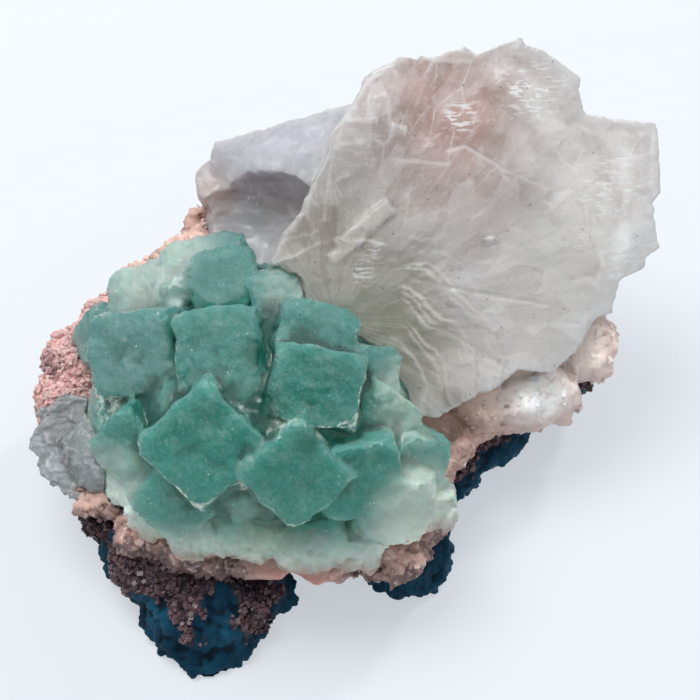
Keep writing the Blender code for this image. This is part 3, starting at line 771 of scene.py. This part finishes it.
# painted light: behind these, the lower parts of the end faces are painted paler
LIT_BEHIND = (-16, -10)  # the end faces behind these catch the light
PINKISH_BELOW = (20.5, 17.0)  # the foot turns pinkish between these heights
PINKISH_FRONT = (-22, -27)  # and, forward, between these
GREEN_ZONES = [
    # centre, reach, share, colour
    ((-28, 14, 33), 14, 0.8, (176, 208, 212)),
    ((-33, 3, 35), 11, 0.45, (176, 214, 210)),
    ((10, -26, 24), 11, 0.8, (222, 234, 230)),
    ((10, -12, 33), 10, 0.55, (176, 214, 198)),
    ((-36, -22, 24), 10, 0.7, (166, 186, 184)),
    ((-9, 5, 39), 6, 0.5, (186, 224, 214)),
    ((-12, -30, 22), 12, 0.5, (180, 190, 160)),
    # the zones with no red are painted shade: deep teal in the valleys between crystals
    ((-12.2, -10.8, 42), 4.2, 0.95, (0, 128, 112)),
    ((-11.6, -18.2, 40.6), 4.6, 0.95, (0, 124, 108)),
    ((-30.3, -14.8, 33), 5.0, 0.9, (0, 140, 130)),
    ((-29.7, 14.1, 32.8), 4.5, 0.8, (50, 190, 180)),
    ((-2.1, -20.1, 36.3), 3.6, 0.8, (0, 124, 108)),
    ((-5.0, -24.0, 39.7), 3.4, 0.6, (0, 130, 112)),
]
CRUSHED = [
    # centre, reach, share
    ((-17.5, -15.0, 42.3), 2.6, 0.7),
    ((-14.5, -15.0, 41.8), 2.2, 0.6),
    ((-36.4, -9.6, 28.5), 5.0, 0.9),
    ((-9.5, -20.6, 40.5), 3.2, 0.6),
    ((-2.0, -21.0, 39.5), 4.0, 0.8),
    ((-24.7, -27.3, 28), 3.4, 0.8),
    ((-15.5, -26.7, 31.4), 1.6, 0.9),
    ((-5.0, -12.0, 43), 3.5, 0.5),
]
HAZY = [
    # centre, reach, share
    ((10, -26, 24), 10, 0.5),
    ((-30, 13, 33), 13, 0.3),
    ((-9, 4, 39), 6, 0.15),
    ((9, -13, 33), 9, 0.3),
    ((-36, -22, 24), 9, 0.25),
]
END_FACES = [
    # centre, lean about X and about Y, half its width, how pale it is
    ((-19.1, -9.7, 43), (27, -6), 6.5, 0.3),
    ((-4.1, -16.7, 43), (33, 6), 7.0, 0.0),
    ((-4.1, -7.7, 43), (26, 8), 6.0, 0.5),
    ((-19.1, 6.3, 40), (14, -2), 5.5, 0.5),
    ((-10.1, 2.3, 40), (22, 14), 4.5, 0.9),
    ((-23.1, 14.3, 34), (4, -10), 7.0, 1.0),
    ((-33.1, 7.3, 33), (16, -22), 5.5, 0.9),
    ((-33.1, -6.7, 37), (34, -20), 6.7, 0.9),
    ((-21.1, -23.7, 37), (44, -6), 7.5, 0.05),
    ((-33.1, -19.7, 29), (52, -32), 5.5, 0.3),
    ((-26.1, -27.7, 27), (58, -14), 5.5, 0.4),
    ((-7.1, -27.7, 35), (52, 4), 6.5, 0.1),
    ((2.9, -26.7, 32), (52, 18), 6.0, 0.15),
    ((4.9, -11.7, 37), (34, 30), 5.0, 0.6),
    ((6.9, -17.7, 34), (44, 32), 5.0, 0.3),
    ((11.9, -21.7, 28), (50, 42), 5.0, 0.8),
    ((7.9, -28.7, 26), (64, 26), 6.0, 0.9),
]


def sway(piece, size, amount):
    """Bends the piece's straight edges, by up to that amount, over lengths of that size."""
    places = points_of(piece) / MM
    moves = np.stack([wild(places + shift, size, octaves=2) for shift in (30.0, 60.0, 90.0)], 1)
    move_to(piece, points_of(piece) + amount * MM * moves)


cluster = piece_from("apophyllite_cluster", "apophyllite")
melt(cluster, skin=0.28, soften=3)
places = points_of(cluster) / MM
outward = places - DOME_CENTRE
outward /= np.linalg.norm(outward, axis=1)[:, None]
facing = normals_of(cluster)
ends = np.zeros(len(places))  # 1 on an end face, and 0 on a side
pale_share = np.full(len(places), 0.35)  # how pale that end face is
fade = np.zeros(len(places))  # how far down it the point lies, from about -1 to 1
for centre, lean, half, paleness in END_FACES:
    away = places - np.array(centre)
    turn = Matrix.Rotation(math.radians(lean[1]), 3, "Y") @ Matrix.Rotation(math.radians(lean[0]), 3, "X")
    normal = np.array(turn @ Vector((0, 0, 1)))
    height = away @ normal
    aside = np.linalg.norm(away - height[:, None] * normal, axis=1)
    share = step(facing @ normal, 0.7, 0.93) * step(np.abs(height), 1.2, 0.5)
    share = share * step(aside, half * 1.5, half * 1.3)
    pale_share = np.where(share > ends, paleness, pale_share)
    downhill = normal[2] * normal - (0, 0, 1)
    fade = np.where(share > ends, away @ downhill / np.linalg.norm(downhill) / half, fade)
    ends = np.maximum(ends, share)
worn = 0.25 + 0.55 * near(places, WORN_FRONT, reach=22, soft=0.6) * step(places[:, 2], *WORN_BELOW)
places += worn[:, None] * (smoothed(cluster, places, rounds=30) - places)
move_to(cluster, places * MM)
sideways = facing - (facing * outward).sum(1)[:, None] * outward
rims = np.clip(standing_out(cluster, rounds=30, full=0.5), 0, 1)
wide_rims = np.clip(standing_out(cluster, rounds=110, full=0.9), 0, 1)
low = step(places[:, 2], LOWER_RIM + 4, LOWER_RIM - 4)
below = step(-sideways[:, 2], 0.15, 0.5) * (1 - ends)
sway(cluster, size=4.0, amount=0.3)
sway(cluster, size=1.2, amount=0.1)
push(cluster, -0.5 * rims * np.abs(wild(places, 1.5)))
push(cluster, 0.06 * ends * np.round(2.5 * wild(places, 3.0, octaves=2)) / 2.5)
facets(cluster, size=3.6, height=1.3, share=low)
facets(cluster, size=1.2, height=0.35, share=np.maximum(rims, low))
relief(cluster, "CLOUDS", size=0.7, height=0.2, noise_depth=2, share=np.maximum(0.8 * ends, low))
relief(cluster, "VORONOI", size=1.0, height=-0.3, middle=0.4, share=below * rims)
crushed = [share * near(places, centre, reach, soft=0.6) for centre, reach, share in CRUSHED]
haze = [share * near(places, centre, reach, soft=0.6) for centre, reach, share in HAZY]
valleys = [near(places, centre, reach, soft=0.7)
           for centre, reach, _, colour in GREEN_ZONES if colour[0] == 0]
mark(cluster, "crushed", np.max(crushed, axis=0) * (1 - ends))
mark(cluster, "haze", np.max(haze, axis=0))
mark(cluster, "ends", ends)
mark(cluster, "fade", fade)
mark(cluster, "valley", np.max(valleys, axis=0))
mark(cluster, "light", step(places[:, 1], *LIT_BEHIND))
mark(cluster, "foot", step(places[:, 2], *PINKISH_BELOW) * step(places[:, 1], *PINKISH_FRONT))
mark(cluster, "pale", pale_share)
mark(cluster, "below", below)
mark(cluster, "low", low)
crushed_edges = np.max([near(places, centre, 2 * reach) for centre, reach, _ in CRUSHED], axis=0)
mark(cluster, "lower_edge", wide_rims * step(-sideways[:, 2], 0.08, 0.3) * (0.3 + 0.7 * crushed_edges))
mark(cluster, "edge", wide_rims)
mark(cluster, "crevice", -standing_out(cluster, rounds=260, full=1.8))
paint(cluster, GREEN_ZONES)
thin_out(cluster, share=0.6)

green = Finish("green_apophyllite", roughness=0.24, subsurface_weight=0.9, subsurface_scale=0.006,
               subsurface_radius=(0.3, 1.0, 0.85), transmission_weight=0.8, ior=1.535)
cloudy = green.noise(5.0, detail=5.0, roughness=0.6)
veils = green.rise(green.noise(2.6, detail=5.0, roughness=0.65), 0.45, 0.7)
sides = green.blend(cloudy, (116, 216, 206), (184, 238, 232))
tops = green.blend(cloudy, (0, 170, 154), (24, 200, 186))
tops = green.blend(green.marked("pale"), tops, (172, 232, 230))
grainy = green.noise(0.5, detail=3.0, roughness=0.75)
tops = green.blend(green.rise(grainy, 0.48, 0.72) * 0.6, tops, (186, 244, 236))
tops = green.blend(green.rise(grainy, 0.46, 0.2) * 0.5, tops, (0, 130, 116))
colour = green.blend(green.marked("ends"), sides, tops)
# painted light on the lower parts of the end faces at the back
painted_light_on_ends = green.rise(green.marked("fade"), 0.35, 1.0) * green.marked("light")
colour = green.blend(painted_light_on_ends * 0.6, colour, (158, 232, 222))
# partly frosting and partly painted light: paler along the crystals' edges
colour = green.blend(green.rise(green.marked("edge"), 0.05, 0.7) * 0.38, colour, (150, 236, 226))
colour = green.tinted(colour)
colour = green.blend(veils * 0.12, colour, (180, 236, 228))
# painted shade: deep teal in the crevices between crystals
colour = green.blend(green.rise(green.marked("crevice"), 0.0, 0.35) * 0.9, colour, (0, 104, 94))
colour = green.blend(green.specks(1.9, width=0.1) * 0.8, colour, (24, 50, 46))
green.fill(green.shader, {"Base Color": colour, "Roughness": 0.1 + 0.16 * green.marked("ends")})
height = green.noise(0.45, detail=4.0, roughness=0.75) * (0.2 + 0.8 * green.marked("ends"))
green.bump(height, strength=0.9, distance=0.3)
crumbs = green.rise(green.noise(1.4, detail=4.0, roughness=0.7), 0.38, 0.64)
# painted sparkles: small white dots, laid on with the frosting overlay
dots = green.rise(green.noise(0.45, detail=2.0), 0.7, 0.76) * green.rise(green.noise(4.0), 0.5, 0.62) * 0.7
frost_and_sparkle_share = green.rise(green.marked("lower_edge"), 0.1, 0.5) * crumbs + green.marked("below") * crumbs * 0.15
frost_and_sparkle_share = frost_and_sparkle_share + green.marked("low") * (0.6 + 0.15 * crumbs) + dots + veils * 0.05
frost_and_sparkle_share = frost_and_sparkle_share + green.marked("crushed") * crumbs + green.marked("haze")
frost_and_sparkle_share = frost_and_sparkle_share * (1 - 0.85 * green.marked("valley"))
frost_and_sparkle_colour = green.blend(green.marked("foot") * 0.8, (214, 226, 216), (186, 152, 140))
green.overlay(frost_and_sparkle_share, frost_and_sparkle_colour, roughness=0.4, subsurface_weight=0.6, subsurface_scale=0.002)
green.absorb((90, 222, 204), density=22.0)
green.coat(cluster)
bpy.data.objects.remove(grain, do_unlink=True)

# --------------------------------------------------------------------------------------------------
# Stage. A plain pale floor, soft light from above and behind, and the camera, which looks down on the
# specimen. Lengths here are in metres.

bpy.ops.object.select_all(action="DESELECT")
bpy.ops.mesh.primitive_plane_add(size=3.0, location=(0, 0, -0.00005))
floor = bpy.context.object
floor.name = "floor"
paper = Finish("floor", roughness=0.9, emission_strength=0.55)
paper.shader.inputs["Base Color"].default_value = (0.24, 0.25, 0.26, 1.0)
paper.shader.inputs["Emission Color"].default_value = (0.88, 0.94, 1.0, 1.0)
paper.coat(floor)

world = bpy.data.worlds.new("studio")
bpy.context.scene.world = world
world.use_nodes = True
sky = world.node_tree.nodes["Background"].inputs
sky["Color"].default_value = (0.94, 0.97, 1.0, 1.0)
sky["Strength"].default_value = 0.6

LAMPS = [
    # name, place, aim, side, watts
    ("key", (-0.18, 0.14, 0.62), (0, 0, 0.02), 0.35, 3.9),
    ("sparkle", (0.3, 0.35, 0.5), (0, 0, 0.04), 0.08, 1.6),
]
for name, place, aim, side_length, watts in LAMPS:
    lamp = bpy.data.objects.new(name, bpy.data.lights.new(name, "AREA"))
    bpy.context.scene.collection.objects.link(lamp)
    lamp.location = place
    lamp.rotation_euler = (Vector(place) - Vector(aim)).to_track_quat("Z", "Y").to_euler()
    lamp.data.size = side_length
    lamp.data.energy = watts

AIM = Vector((0.0009, 0.0023, 0.025))
DOWN = math.radians(55)
AWAY = 0.3
back = Vector((0, -math.cos(DOWN), math.sin(DOWN)))
camera = bpy.data.objects.new("camera", bpy.data.cameras.new("camera"))
bpy.context.scene.collection.objects.link(camera)
camera.location = AIM + AWAY * back
camera.rotation_euler = back.to_track_quat("Z", "Y").to_euler()
camera.data.sensor_width = 36.0
camera.data.lens = 96.0
camera.data.clip_start = 0.01
bpy.context.scene.camera = camera
bpy.context.scene.view_settings.view_transform = "Standard"
